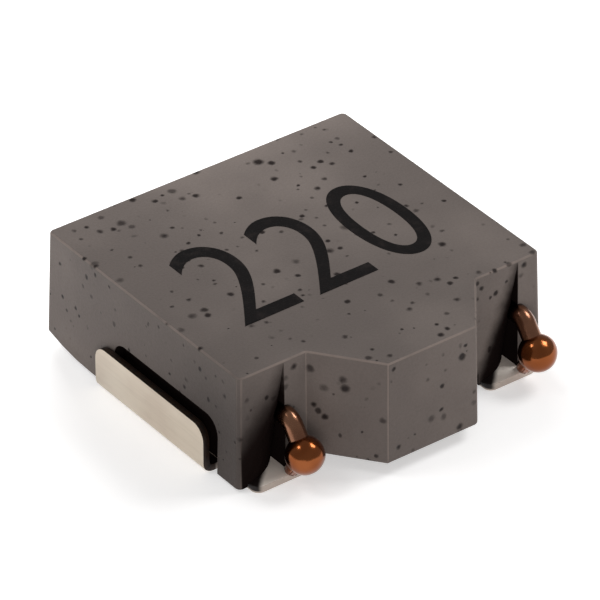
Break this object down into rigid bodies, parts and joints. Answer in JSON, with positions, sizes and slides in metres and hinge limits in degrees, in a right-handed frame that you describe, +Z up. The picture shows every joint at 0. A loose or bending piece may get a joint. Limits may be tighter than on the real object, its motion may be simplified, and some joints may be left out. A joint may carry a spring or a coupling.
{
  "type": "shielded smd inductor",
  "caption": "Low block of moulded magnetic composite over a flat coil, with scooped lead notches, bent copper leads, weld beads and folded tinned terminals for surface mounting.",
  "frame": {"origin": "on the seating plane, under the middle of the whole outline", "axes": "+Z up, away from the board; -Y towards the front face with the lead notches and the projecting bay; +X to the right seen from the front"},
  "size_m": [0.004, 0.004, 0.0014],
  "materials": {
    "composite": "matt, finely speckled",
    "copper_wire": "enamelled, glossy",
    "tinned_sheet": "satin",
    "weld_copper": "glossy"
  },
  "bodies": {
    "root": {"moulded_body": "composite", "winding": "copper_wire", "terminal_left": "tinned_sheet", "terminal_right": "tinned_sheet", "weld_bead_left": "weld_copper", "weld_bead_right": "weld_copper"}
  },
  "joints": []
}
